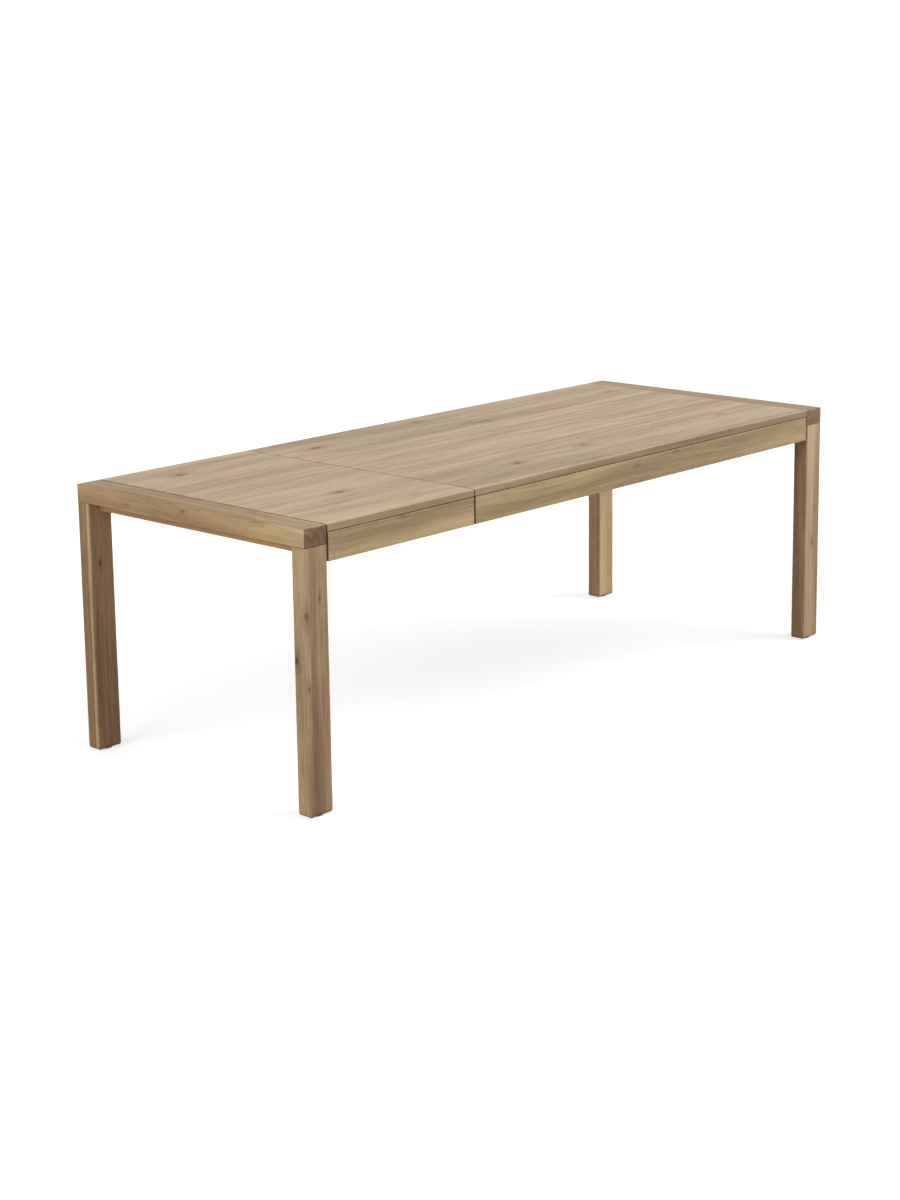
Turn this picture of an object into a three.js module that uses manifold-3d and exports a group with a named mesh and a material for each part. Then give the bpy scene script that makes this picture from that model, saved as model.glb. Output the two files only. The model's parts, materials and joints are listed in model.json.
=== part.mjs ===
// Extendable dining table in oak: a long fixed section on two legs and a short pull-out end on two legs.
// The end section slides out on two hardwood runners, and a loose leaf stored under the long top fills the gap.
// Frame: millimetres, +Z up, origin on the floor under the middle of the closed table.
// The pull-out end is at -X, and the front long side is at -Y.
import * as THREE from "three";
import { mergeVertices } from "three/addons/utils/BufferGeometryUtils.js";
import Module from "manifold-3d";

const wasm = await Module();
wasm.setup();

// ---------- Driving dimensions ----------
const LENGTH = 2300;
const WIDTH = 900;
const HEIGHT = 760;
const TOUCH = 0.3; // gap left between two pieces that touch

const TOP_THICKNESS = 20;
const BEAM_WIDTH = 78; // end beam, along X
const BEAM_HEIGHT = 50;
const LEG_DEPTH = 48; // leg, along Y; along X it is as wide as the beam
const EDGE_RADIUS = 3;
const PANEL_RADIUS = 2;
const FOOT_HEIGHT = 3;
const FOOT_RADIUS = 19;
const FOOT_CHAMFER = 1;

const RAIL_SETBACK = 37; // end rail, behind the beam's outer face
const RAIL_THICKNESS = 28;
const RAIL_BOTTOM = 685;

const APRON_THICKNESS = 20;
const APRON_RADIUS = 1.5;
const APRON_BOTTOM = 663;
const SHADOW_LINE = 2; // between the top and the apron
const APRON_END_GAP = 5.5; // between the apron and the leg
const CLEAT_SIZE = 24;

const SEAM_X = -515; // where the top and both aprons part
const SEAM_TOP_GAP = 2.6;
const SEAM_APRON_GAP = 6;
const SEAM_SETBACK = 10; // cleats and guides stop this far from the seam
const PULL_JOINT_GAP = 1.8; // panel to beam at the pull-out end
const FIXED_JOINT_GAP = 0.6; // panel to beam at the fixed end

const TRAVEL = 500; // how far the end section pulls out
const RUNNER_Y = 300;
const RUNNER_WIDTH = 36;
const RUNNER_HEIGHT = 40;
const RUNNER_TAIL_X = 390;
const RUNNER_SLACK = 1; // side clearance in the guide
const RUNNER_CLEARANCE = 0.5; // above and below the runner
const CHEEK_THICKNESS = 18;
const GUIDE_LIP_HEIGHT = 12;
const TAIL_STOP_LENGTH = 40;
const STOP_PLAY = 0.5; // the stops meet the lips this far past the travel

const LEAF_START_X = -330;
const LEAF_SLACK = 1; // the leaf is this much narrower than the gap it fills
const LEAF_PLAY = 2; // behind the stored leaf, on its ledges
const BATTEN_PLAY = 3; // between the guides and the batten that stops the leaf
const LEAF_DROP = 8; // air above the stored leaf
const LEDGE_WIDTH = 38;
const LEDGE_HEIGHT = 12.5;
const BATTEN_WIDTH = 40;
const BATTEN_HEIGHT = 39.7;
const FAR_BATTEN_X = 850;

const BLOCK_REACH = 75; // corner block, along X and along Y
const BLOCK_FLAT = 25; // its flat for the bolt head
const BLOCK_HEIGHT = 48;
const BOLT_RADIUS = 4;
const BOLT_DEPTH = 35; // in the leg
const BOLT_HEAD_RADIUS = 6.5;
const BOLT_HEAD_HEIGHT = 5;
const WASHER_RADIUS = 8.5;
const WASHER_THICKNESS = 1.6;
const DRILL_SLACK = 0.4;
const DRILL_EXTRA = 2; // a drilled hole is this much deeper than its pin

const DOWEL_RADIUS = 4;
const DOWEL_GLUED = 25; // in the end panel
const DOWEL_FREE = 22; // in the long panel
const DOWEL_Y = [-390, -150, 150, 390];

const LOCK_Y = 370;
const LOCK_DROP = 12; // bolt axis, below the panel
const LOCK_ROD_RADIUS = 5.5;
const LOCK_BORE_RADIUS = 6.5;
const LOCK_SETBACK = 21; // from the seam to the housing
const KEEPER_SETBACK = 7; // from the seam to the keeper
const LOCK_NOSE = 10; // the drawn bolt stands this far out of its housing
const LOCK_PLATE_WIDTH = 30;
const LOCK_PLATE_THICKNESS = 3;
const LOCK_PLATE_RADIUS = 1;
const SADDLE_LENGTH = 12;
const SADDLE_WIDTH = 22;
const SADDLE_HEIGHT = 21;
const SADDLE_RADIUS = 2;
const LOCK_TRAVEL = 40;
const LOCK_KNOB_STEM_RADIUS = 3;
const LOCK_KNOB_RADIUS = 7;
const LOCK_KNOB_DROP = 24;
const LOCK_KNOB_PLAY = 1; // between the stem and the saddle at each end of its travel

// ---------- Derived levels and places ----------
const HALF_WIDTH = WIDTH / 2;
const UNDERSIDE = HEIGHT - TOP_THICKNESS;
const FIXING_TOP = UNDERSIDE - TOUCH;
const BEAM_BOTTOM = HEIGHT - BEAM_HEIGHT;
const BEAM_INNER_X = LENGTH / 2 - BEAM_WIDTH;
const APRON_INNER_Y = HALF_WIDTH - APRON_THICKNESS;
const LEG_INNER_Y = HALF_WIDTH - LEG_DEPTH;
const RUNNER_TOP = UNDERSIDE - RUNNER_CLEARANCE;
const RUNNER_BOTTOM = RUNNER_TOP - RUNNER_HEIGHT;
const CHEEK_BOTTOM = RUNNER_BOTTOM - RUNNER_CLEARANCE;
const GUIDE_START_X = SEAM_X + SEAM_SETBACK;
const GUIDE_END_X = LEAF_START_X + WIDTH + LEAF_PLAY;
const GUIDE_LIP_END_X = RUNNER_TAIL_X - TAIL_STOP_LENGTH - TRAVEL - STOP_PLAY;
const RUNNER_INNER_Y = RUNNER_Y - RUNNER_WIDTH / 2;
const RUNNER_OUTER_Y = RUNNER_Y + RUNNER_WIDTH / 2;
const CHEEK_INNER_Y = RUNNER_INNER_Y - RUNNER_SLACK - CHEEK_THICKNESS;
const CHEEK_OUTER_Y = RUNNER_OUTER_Y + RUNNER_SLACK + CHEEK_THICKNESS;
const DOWEL_Z = HEIGHT - TOP_THICKNESS / 2;
const BLOCK_BOTTOM = FIXING_TOP - BLOCK_HEIGHT;
const BOLT_Y = APRON_INNER_Y - TOUCH - BLOCK_FLAT / 2;
const BOLT_Z = (BLOCK_BOTTOM + BEAM_BOTTOM) / 2;
const LOCK_Z = UNDERSIDE - LOCK_DROP;
const SIDES = { front: -1, back: 1 };
const ENDS = { pull: -1, fixed: 1 };

// ---------- Materials ----------
const finish = (color, roughness, metalness = 0) =>
  new THREE.MeshStandardMaterial({ color, roughness, metalness });
const OAK_TOP = finish(0xbcaa8c, 0.6);
const OAK_BEAM = finish(0xac8e64, 0.6);
const OAK_LEG = finish(0xaa8c6e, 0.6);
const OAK_APRON = finish(0xa58d69, 0.6);
const BEECH = finish(0xc9a77c, 0.7);
const STEEL = finish(0x9a9a98, 0.35, 0.9);
const NYLON = finish(0x9a8a74, 0.8);

// ---------- Shape helpers ----------
const table = new THREE.Group();
const fixedSection = new THREE.Group();
const pullOutEnd = new THREE.Group();
table.add(fixedSection, pullOutEnd);

// A range of distances from the middle, turned to the side that the sign gives.
const onSide = (sign, inner, outer) => (sign > 0 ? [inner, outer] : [-outer, -inner]);

function roundedRectangle(width, height, radius) {
  if (radius === 0) {
    return new THREE.Shape([
      new THREE.Vector2(0, 0),
      new THREE.Vector2(width, 0),
      new THREE.Vector2(width, height),
      new THREE.Vector2(0, height),
    ]);
  }
  const steps = 3;
  const points = [];
  for (let corner = 0; corner < 4; corner++) {
    const cx = corner === 0 || corner === 3 ? width - radius : radius;
    const cy = corner < 2 ? height - radius : radius;
    for (let step = 0; step <= steps; step++) {
      const angle = ((corner + step / steps) * Math.PI) / 2;
      points.push(new THREE.Vector2(cx + radius * Math.cos(angle), cy + radius * Math.sin(angle)));
    }
  }
  return new THREE.Shape(points);
}

// A straight bar that fills the box x, y, z (each [low, high]) and runs along one axis,
// with its four long edges rounded.
function bar(name, material, { x, y, z, along = "x", radius = 0 }) {
  const low = new THREE.Vector3(x[0], y[0], z[0]);
  const size = new THREE.Vector3(x[1], y[1], z[1]).sub(low);
  const [u, v, w] = { x: [1, 2, 0], y: [2, 0, 1], z: [0, 1, 2] }[along];
  const unit = (axis) => new THREE.Vector3().setComponent(axis, 1);
  const section = roundedRectangle(size.getComponent(u), size.getComponent(v), radius);
  const geometry = new THREE.ExtrudeGeometry(section, {
    depth: size.getComponent(w),
    bevelEnabled: false,
  });
  geometry.applyMatrix4(new THREE.Matrix4().makeBasis(unit(u), unit(v), unit(w)));
  const mesh = new THREE.Mesh(geometry, material);
  mesh.name = name;
  mesh.position.copy(low);
  return mesh;
}

// A turned piece: profile is [radius, distance] pairs from the start point along the axis.
function turned(name, material, profile, start, direction, sides = 16) {
  const points = profile.map(([radius, along]) => new THREE.Vector2(radius, along));
  const mesh = new THREE.Mesh(new THREE.LatheGeometry(points, sides), material);
  mesh.name = name;
  mesh.position.copy(start);
  mesh.quaternion.setFromUnitVectors(new THREE.Vector3(0, 1, 0), direction);
  return mesh;
}

function rod(radius, start, direction, length, sides = 16) {
  const profile = [
    [0, 0],
    [radius, 0],
    [radius, length],
    [0, length],
  ];
  return turned("rod", STEEL, profile, start, direction, sides);
}

function solidOf(mesh) {
  mesh.updateMatrix();
  const bare = new THREE.BufferGeometry();
  bare.setAttribute("position", mesh.geometry.getAttribute("position").clone());
  if (mesh.geometry.index) bare.setIndex(mesh.geometry.index);
  bare.applyMatrix4(mesh.matrix);
  const merged = mergeVertices(bare, 1e-3);
  return new wasm.Manifold(
    new wasm.Mesh({
      numProp: 3,
      vertProperties: merged.attributes.position.array,
      triVerts: new Uint32Array(merged.index.array),
    }),
  );
}

// Joins the additions to a mesh and cuts the cutters out of it; all are placed in one group's frame.
function carve(mesh, { add = [], cut = [] }) {
  let solid = solidOf(mesh);
  for (const piece of add) solid = solid.add(solidOf(piece));
  for (const piece of cut) solid = solid.subtract(solidOf(piece));
  const { numProp, vertProperties, triVerts } = solid.getMesh();
  const geometry = new THREE.BufferGeometry();
  geometry.setAttribute("position", new THREE.BufferAttribute(vertProperties, numProp));
  geometry.setIndex(new THREE.BufferAttribute(triVerts, 1));
  mesh.geometry = geometry.applyMatrix4(mesh.matrix.clone().invert()).toNonIndexed();
  mesh.geometry.computeVertexNormals();
  return mesh;
}

const ALONG_X = new THREE.Vector3(1, 0, 0);
const UP = new THREE.Vector3(0, 0, 1);
const DOWN = new THREE.Vector3(0, 0, -1);

// ---------- Top panels, with the dowels that line them up across the seam ----------
function addTop() {
  const panel = { y: [-HALF_WIDTH, HALF_WIDTH], z: [UNDERSIDE, HEIGHT], radius: PANEL_RADIUS };
  const endPanelEdge = SEAM_X - SEAM_TOP_GAP / 2;
  const longPanelEdge = SEAM_X + SEAM_TOP_GAP / 2;
  const endPanel = bar("end_top_panel", OAK_TOP, {
    ...panel,
    x: [-BEAM_INNER_X + PULL_JOINT_GAP, endPanelEdge],
  });
  const longPanel = bar("long_top_panel", OAK_TOP, {
    ...panel,
    x: [longPanelEdge, BEAM_INNER_X - FIXED_JOINT_GAP],
  });
  const gluedHoles = [];
  const freeHoles = [];
  DOWEL_Y.forEach((y, i) => {
    const start = new THREE.Vector3(endPanelEdge - DOWEL_GLUED, y, DOWEL_Z);
    const length = DOWEL_GLUED + SEAM_TOP_GAP + DOWEL_FREE;
    const dowel = rod(DOWEL_RADIUS, start, ALONG_X, length);
    dowel.name = "seam_dowel_" + (i + 1);
    dowel.material = BEECH;
    pullOutEnd.add(dowel);
    const holeStart = start.clone().addScaledVector(ALONG_X, -TOUCH);
    gluedHoles.push(rod(DOWEL_RADIUS + DRILL_SLACK, holeStart, ALONG_X, DOWEL_GLUED + DRILL_EXTRA));
    const mouth = new THREE.Vector3(longPanelEdge - DRILL_EXTRA, y, DOWEL_Z);
    freeHoles.push(rod(DOWEL_RADIUS + 2 * DRILL_SLACK, mouth, ALONG_X, DOWEL_FREE + 2 * DRILL_EXTRA));
  });
  pullOutEnd.add(carve(endPanel, { cut: gluedHoles }));
  fixedSection.add(carve(longPanel, { cut: freeHoles }));
}

// ---------- One end: beam, rail and ledger across, with two legs, feet, corner blocks and bolts ----------
function addEnd(end, sign, group) {
  const inward = new THREE.Vector3(sign, 0, 0);
  group.add(
    bar(end + "_end_beam", OAK_BEAM, {
      x: onSide(sign, BEAM_INNER_X, LENGTH / 2),
      y: [-HALF_WIDTH, HALF_WIDTH],
      z: [BEAM_BOTTOM, HEIGHT],
      along: "y",
      radius: EDGE_RADIUS,
    }),
    bar(end + "_end_rail", OAK_BEAM, {
      x: onSide(sign, LENGTH / 2 - RAIL_SETBACK - RAIL_THICKNESS, LENGTH / 2 - RAIL_SETBACK),
      y: [-LEG_INNER_Y + TOUCH, LEG_INNER_Y - TOUCH],
      z: [RAIL_BOTTOM, BEAM_BOTTOM - TOUCH],
      along: "y",
    }),
    bar(end + "_end_ledger", BEECH, {
      x: onSide(sign, BEAM_INNER_X - TOUCH - CLEAT_SIZE, BEAM_INNER_X - TOUCH),
      y: [-RUNNER_INNER_Y + RUNNER_SLACK, RUNNER_INNER_Y - RUNNER_SLACK],
      z: [FIXING_TOP - CLEAT_SIZE, FIXING_TOP],
      along: "y",
    }),
  );
  for (const [side, ySign] of Object.entries(SIDES)) {
    const label = end + "_" + side;
    const boltHead = new THREE.Vector3(
      sign * (BEAM_INNER_X - TOUCH - BLOCK_REACH - TOUCH - WASHER_THICKNESS - BOLT_HEAD_HEIGHT),
      ySign * BOLT_Y,
      BOLT_Z,
    );
    const headLength = BOLT_HEAD_HEIGHT + WASHER_THICKNESS;
    const boltLength = headLength + BLOCK_REACH + 2 * TOUCH + BOLT_DEPTH;
    const boltHole = rod(BOLT_RADIUS + DRILL_SLACK, boltHead, inward, boltLength + DRILL_EXTRA);
    const leg = bar(label + "_leg", OAK_LEG, {
      x: onSide(sign, BEAM_INNER_X, LENGTH / 2),
      y: onSide(ySign, LEG_INNER_Y, HALF_WIDTH),
      z: [FOOT_HEIGHT + TOUCH, BEAM_BOTTOM - TOUCH],
      along: "z",
      radius: EDGE_RADIUS,
    });
    const foot = [
      [0, 0],
      [FOOT_RADIUS - FOOT_CHAMFER, 0],
      [FOOT_RADIUS, FOOT_CHAMFER],
      [FOOT_RADIUS, FOOT_HEIGHT],
      [0, FOOT_HEIGHT],
    ];
    const footPlace = new THREE.Vector3(
      sign * (LENGTH / 2 - BEAM_WIDTH / 2),
      ySign * (HALF_WIDTH - LEG_DEPTH / 2),
      0,
    );
    const bolt = [
      [0, 0],
      [BOLT_HEAD_RADIUS, 0],
      [BOLT_HEAD_RADIUS, BOLT_HEAD_HEIGHT],
      [WASHER_RADIUS, BOLT_HEAD_HEIGHT],
      [WASHER_RADIUS, headLength],
      [BOLT_RADIUS, headLength],
      [BOLT_RADIUS, boltLength],
      [0, boltLength],
    ];
    group.add(
      carve(leg, { cut: [boltHole] }),
      carve(cornerBlock(label + "_corner_block", sign, ySign), { cut: [boltHole] }),
      turned(label + "_leg_bolt", STEEL, bolt, boltHead, inward),
      turned(label + "_foot", NYLON, foot, footPlace, UP, 24),
    );
  }
}

// A block that fills the corner between apron and beam, cut away on the inside of the corner.
function cornerBlock(name, xSign, ySign) {
  const far = BLOCK_REACH;
  const outline = [
    [0, 0],
    [far, 0],
    [far, BLOCK_FLAT],
    [BLOCK_FLAT, far],
    [0, far],
  ].map(([x, y]) => new THREE.Vector2(-xSign * x, -ySign * y));
  const geometry = new THREE.ExtrudeGeometry(new THREE.Shape(outline), {
    depth: BLOCK_HEIGHT,
    bevelEnabled: false,
  });
  const mesh = new THREE.Mesh(geometry, BEECH);
  mesh.name = name;
  mesh.position.set(
    xSign * (BEAM_INNER_X - TOUCH),
    ySign * (APRON_INNER_Y - TOUCH),
    BLOCK_BOTTOM,
  );
  return mesh;
}

// ---------- Aprons and the cleats that hold them to the tops ----------
function addAprons() {
  const apronEnd = BEAM_INNER_X - APRON_END_GAP;
  const cleatEnd = BEAM_INNER_X - 2 * TOUCH - BLOCK_REACH;
  for (const [side, sign] of Object.entries(SIDES)) {
    const apron = {
      y: onSide(sign, APRON_INNER_Y, HALF_WIDTH),
      z: [APRON_BOTTOM, UNDERSIDE - SHADOW_LINE],
      radius: APRON_RADIUS,
    };
    const cleat = {
      y: onSide(sign, APRON_INNER_Y - TOUCH - CLEAT_SIZE, APRON_INNER_Y - TOUCH),
      z: [FIXING_TOP - CLEAT_SIZE, FIXING_TOP],
    };
    pullOutEnd.add(
      bar("end_apron_" + side, OAK_APRON, { ...apron, x: [-apronEnd, SEAM_X - SEAM_APRON_GAP / 2] }),
      bar("end_cleat_" + side, BEECH, { ...cleat, x: [-cleatEnd, SEAM_X - SEAM_SETBACK] }),
    );
    fixedSection.add(
      bar("long_apron_" + side, OAK_APRON, { ...apron, x: [SEAM_X + SEAM_APRON_GAP / 2, apronEnd] }),
      bar("long_cleat_" + side, BEECH, { ...cleat, x: [SEAM_X + SEAM_SETBACK, cleatEnd] }),
    );
  }
}

// ---------- Runners of the end section, and their guides under the long top ----------
function addRunners() {
  for (const [side, sign] of Object.entries(SIDES)) {
    pullOutEnd.add(
      bar("runner_" + side, BEECH, {
        x: [-BEAM_INNER_X + TOUCH, RUNNER_TAIL_X],
        y: onSide(sign, RUNNER_INNER_Y, RUNNER_OUTER_Y),
        z: [RUNNER_BOTTOM, RUNNER_TOP],
      }),
      bar("runner_stop_" + side, BEECH, {
        x: [RUNNER_TAIL_X - TAIL_STOP_LENGTH, RUNNER_TAIL_X],
        y: onSide(sign, RUNNER_INNER_Y + RUNNER_SLACK, RUNNER_OUTER_Y - RUNNER_SLACK),
        z: [RUNNER_BOTTOM - TOUCH - GUIDE_LIP_HEIGHT, RUNNER_BOTTOM - TOUCH],
      }),
    );
    const cheek = { x: [GUIDE_START_X, GUIDE_END_X], z: [CHEEK_BOTTOM, FIXING_TOP] };
    fixedSection.add(
      bar("guide_inner_" + side, BEECH, {
        ...cheek,
        y: onSide(sign, CHEEK_INNER_Y, CHEEK_INNER_Y + CHEEK_THICKNESS),
      }),
      bar("guide_outer_" + side, BEECH, {
        ...cheek,
        y: onSide(sign, CHEEK_OUTER_Y - CHEEK_THICKNESS, CHEEK_OUTER_Y),
      }),
      bar("guide_lip_" + side, BEECH, {
        x: [GUIDE_START_X, GUIDE_LIP_END_X],
        y: onSide(sign, CHEEK_INNER_Y, CHEEK_OUTER_Y),
        z: [CHEEK_BOTTOM - TOUCH - GUIDE_LIP_HEIGHT, CHEEK_BOTTOM - TOUCH],
      }),
      bar("leaf_ledge_" + side, BEECH, {
        x: [GUIDE_START_X, GUIDE_END_X],
        y: onSide(sign, CHEEK_INNER_Y - TOUCH - LEDGE_WIDTH, CHEEK_INNER_Y - TOUCH),
        z: [CHEEK_BOTTOM, CHEEK_BOTTOM + LEDGE_HEIGHT],
      }),
    );
  }
}

// ---------- The spare leaf, stored crosswise, and the battens behind it ----------
function addLeafAndBattens() {
  const leafHalf = (TRAVEL - LEAF_SLACK) / 2;
  table.add(
    bar("spare_leaf", OAK_TOP, {
      x: [LEAF_START_X, LEAF_START_X + WIDTH],
      y: [-leafHalf, leafHalf],
      z: [UNDERSIDE - LEAF_DROP - TOP_THICKNESS, UNDERSIDE - LEAF_DROP],
      along: "y",
      radius: PANEL_RADIUS,
    }),
  );
  const battenHalf = APRON_INNER_Y - 2 * TOUCH - CLEAT_SIZE;
  const battens = {
    leaf_stop_batten: GUIDE_END_X + BATTEN_PLAY + BATTEN_WIDTH / 2,
    far_batten: FAR_BATTEN_X,
  };
  for (const [name, middle] of Object.entries(battens)) {
    fixedSection.add(
      bar(name, BEECH, {
        x: [middle - BATTEN_WIDTH / 2, middle + BATTEN_WIDTH / 2],
        y: [-battenHalf, battenHalf],
        z: [FIXING_TOP - BATTEN_HEIGHT, FIXING_TOP],
        along: "y",
      }),
    );
  }
}

// ---------- Barrel bolts that hold the two sections together at the seam ----------
function saddle(startX, y) {
  return bar("saddle", STEEL, {
    x: [startX, startX + SADDLE_LENGTH],
    y: [y - SADDLE_WIDTH / 2, y + SADDLE_WIDTH / 2],
    z: [FIXING_TOP - SADDLE_HEIGHT, FIXING_TOP - LOCK_PLATE_THICKNESS / 3],
    radius: SADDLE_RADIUS,
  });
}

function lockPlate(name, x, y) {
  return bar(name, STEEL, {
    x,
    y: [y - LOCK_PLATE_WIDTH / 2, y + LOCK_PLATE_WIDTH / 2],
    z: [FIXING_TOP - LOCK_PLATE_THICKNESS, FIXING_TOP],
    radius: LOCK_PLATE_RADIUS,
  });
}

function addLocks() {
  const knobGap = LOCK_TRAVEL + 2 * LOCK_KNOB_STEM_RADIUS + 2 * LOCK_KNOB_PLAY;
  const housingEnd = SEAM_X - LOCK_SETBACK;
  const housingStart = housingEnd - knobGap - 2 * SADDLE_LENGTH;
  const rodTip = housingEnd + LOCK_NOSE;
  const rodTail = housingStart - LOCK_TRAVEL;
  const knobX = housingStart + SADDLE_LENGTH + LOCK_KNOB_STEM_RADIUS + LOCK_KNOB_PLAY;
  const keeperStart = SEAM_X + KEEPER_SETBACK;
  for (const [side, sign] of Object.entries(SIDES)) {
    const y = sign * LOCK_Y;
    const bore = (x, length) =>
      rod(LOCK_BORE_RADIUS, new THREE.Vector3(x - TOUCH, y, LOCK_Z), ALONG_X, length + 2 * TOUCH);
    const housing = lockPlate("lock_housing_" + side, [housingStart, housingEnd], y);
    const keeper = lockPlate("lock_keeper_" + side, [keeperStart, keeperStart + 2 * SADDLE_LENGTH], y);
    pullOutEnd.add(
      carve(housing, {
        add: [saddle(housingStart, y), saddle(housingEnd - SADDLE_LENGTH, y)],
        cut: [bore(housingStart, housingEnd - housingStart)],
      }),
    );
    fixedSection.add(
      carve(keeper, {
        add: [saddle(keeperStart, y)],
        cut: [bore(keeperStart, 2 * SADDLE_LENGTH)],
      }),
    );
    const stem = LOCK_KNOB_STEM_RADIUS;
    const ball = [];
    const first = Math.PI - Math.asin(stem / LOCK_KNOB_RADIUS);
    for (let step = 0; step <= 6; step++) {
      const angle = first * (1 - step / 6);
      ball.push([
        step === 6 ? 0 : LOCK_KNOB_RADIUS * Math.sin(angle),
        LOCK_KNOB_DROP + LOCK_KNOB_RADIUS * Math.cos(angle),
      ]);
    }
    const knobProfile = [[0, 0], [stem, 0], ...ball];
    const knob = turned(
      "knob",
      STEEL,
      knobProfile,
      new THREE.Vector3(knobX, y, LOCK_Z),
      DOWN,
    );
    const lockBolt = rod(
      LOCK_ROD_RADIUS,
      new THREE.Vector3(rodTail, y, LOCK_Z),
      ALONG_X,
      rodTip - rodTail,
    );
    lockBolt.name = "lock_bolt_" + side;
    table.add(carve(lockBolt, { add: [knob] }));
  }
}

addTop();
addEnd("pull", ENDS.pull, pullOutEnd);
addEnd("fixed", ENDS.fixed, fixedSection);
addAprons();
addRunners();
addLeafAndBattens();
addLocks();

export default table;
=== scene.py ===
"""Looks of the extendable oak dining table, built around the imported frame.

Metres, +Z up, with the axes of the CAD: the end that pulls out is at -X, and the long side that the camera
sees is at -Y.
"""

import json
import math

import bmesh
import bpy
from mathutils import Matrix, Vector, noise


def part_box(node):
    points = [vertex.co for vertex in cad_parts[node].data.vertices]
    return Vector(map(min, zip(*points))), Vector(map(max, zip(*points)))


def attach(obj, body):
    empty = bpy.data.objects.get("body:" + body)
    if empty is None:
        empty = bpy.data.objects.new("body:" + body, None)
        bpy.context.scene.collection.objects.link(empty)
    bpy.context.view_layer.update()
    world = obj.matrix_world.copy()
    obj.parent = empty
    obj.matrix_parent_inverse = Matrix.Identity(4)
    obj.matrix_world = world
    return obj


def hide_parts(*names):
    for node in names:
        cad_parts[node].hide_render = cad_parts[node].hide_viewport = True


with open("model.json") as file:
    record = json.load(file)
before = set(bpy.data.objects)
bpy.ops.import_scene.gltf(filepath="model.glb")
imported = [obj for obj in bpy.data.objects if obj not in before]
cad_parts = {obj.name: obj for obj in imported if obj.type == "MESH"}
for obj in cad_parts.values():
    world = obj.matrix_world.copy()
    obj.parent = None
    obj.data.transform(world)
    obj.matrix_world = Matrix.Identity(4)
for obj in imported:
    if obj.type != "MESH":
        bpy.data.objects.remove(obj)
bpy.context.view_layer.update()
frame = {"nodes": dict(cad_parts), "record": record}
record = frame["record"]
BODY = {node: body for body, nodes in record["behaviour"]["bodies"].items() for node in nodes}
SLOT = {row["node"]: row["material_slot"] for row in record["subparts"]}

MM = 0.001
AXIS = {"x": 0, "y": 1, "z": 2}
table_low, table_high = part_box("pull_end_beam")[0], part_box("fixed_end_beam")[1]
PULL_X = table_low.x  # outer face of the end that pulls out
FIXED_INNER_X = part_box("fixed_end_beam")[0].x
FRONT_Y = table_low.y
TOP_Z = table_high.z
DOWELS = sorted(node for node in frame["nodes"] if node.startswith("seam_dowel"))


# ---------- Materials ----------
def srgb(red, green, blue):
    """A colour as it looks on a screen, 0 to 255, in linear light."""

    def linear(value):
        value /= 255
        return value / 12.92 if value <= 0.04045 else ((value + 0.055) / 1.055) ** 2.4

    return (linear(red), linear(green), linear(blue), 1.0)


class Shader:
    """One material's nodes. Each method adds a node and gives its output."""

    def __init__(self, name):
        self.material = bpy.data.materials.new(name)
        self.material.use_nodes = True
        self.tree = self.material.node_tree
        self.tree.nodes.clear()
        self.surface = self.add("ShaderNodeBsdfPrincipled")
        output = self.add("ShaderNodeOutputMaterial")
        self.tree.links.new(self.surface.outputs[0], output.inputs[0])

    def add(self, kind, inputs=None, **settings):
        node = self.tree.nodes.new(kind)
        for key, value in settings.items():
            setattr(node, key, value)
        for key, value in (inputs or {}).items():
            self.feed(node.inputs[key], value)
        return node

    def feed(self, socket, value):
        if isinstance(value, bpy.types.NodeSocket):
            self.tree.links.new(value, socket)
        else:
            socket.default_value = value

    def set(self, name, value):
        """Gives one of the surface's inputs a value or another node's output."""
        self.feed(self.surface.inputs[name], value)

    def math(self, operation, a, b=0.0, clamp=False):
        return self.add("ShaderNodeMath", {0: a, 1: b}, operation=operation, use_clamp=clamp).outputs[0]

    def plus(self, a, b):
        return self.math("ADD", a, b)

    def minus(self, a, b):
        return self.math("SUBTRACT", a, b)

    def times(self, a, b):
        return self.math("MULTIPLY", a, b)

    def away(self, a, b):
        """How far a is from b."""
        return self.math("ABSOLUTE", self.minus(a, b))

    def vector(self, operation, a, b):
        node = self.add("ShaderNodeVectorMath", {0: a, 1: b}, operation=operation)
        return node.outputs["Value" if operation in ("LENGTH", "DOT_PRODUCT") else "Vector"]

    def noise(self, vector, scale, detail=3.0, roughness=0.55):
        settings = {"Vector": vector, "Scale": scale, "Detail": detail, "Roughness": roughness}
        return self.add("ShaderNodeTexNoise", settings).outputs[0]

    def step(self, value, start, end, low=0.0, high=1.0):
        """low before start, high after end, and smooth between them."""
        inputs = {"Value": value, "From Min": start, "From Max": end, "To Min": low, "To Max": high}
        return self.add("ShaderNodeMapRange", inputs, interpolation_type="SMOOTHSTEP").outputs[0]

    def mix(self, factor, a, b, blend="MIX"):
        node = self.add("ShaderNodeMix", {0: factor, 6: a, 7: b}, data_type="RGBA", blend_type=blend)
        return node.outputs[2]

    def scaled(self, colour, factor):
        """The colour times a number."""
        grey = self.add("ShaderNodeCombineColor", {0: factor, 1: factor, 2: factor})
        return self.mix(1.0, colour, grey.outputs[0], "MULTIPLY")

    def tinted(self, mask, colour, tint):
        """The colour times the tint where the mask is 1."""
        return self.mix(mask, colour, self.mix(1.0, colour, (*tint, 1.0), "MULTIPLY"))

    def bump(self, height, distance, strength=1.0):
        inputs = {"Height": height, "Distance": distance, "Strength": strength}
        self.set("Normal", self.add("ShaderNodeBump", inputs).outputs[0])


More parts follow.
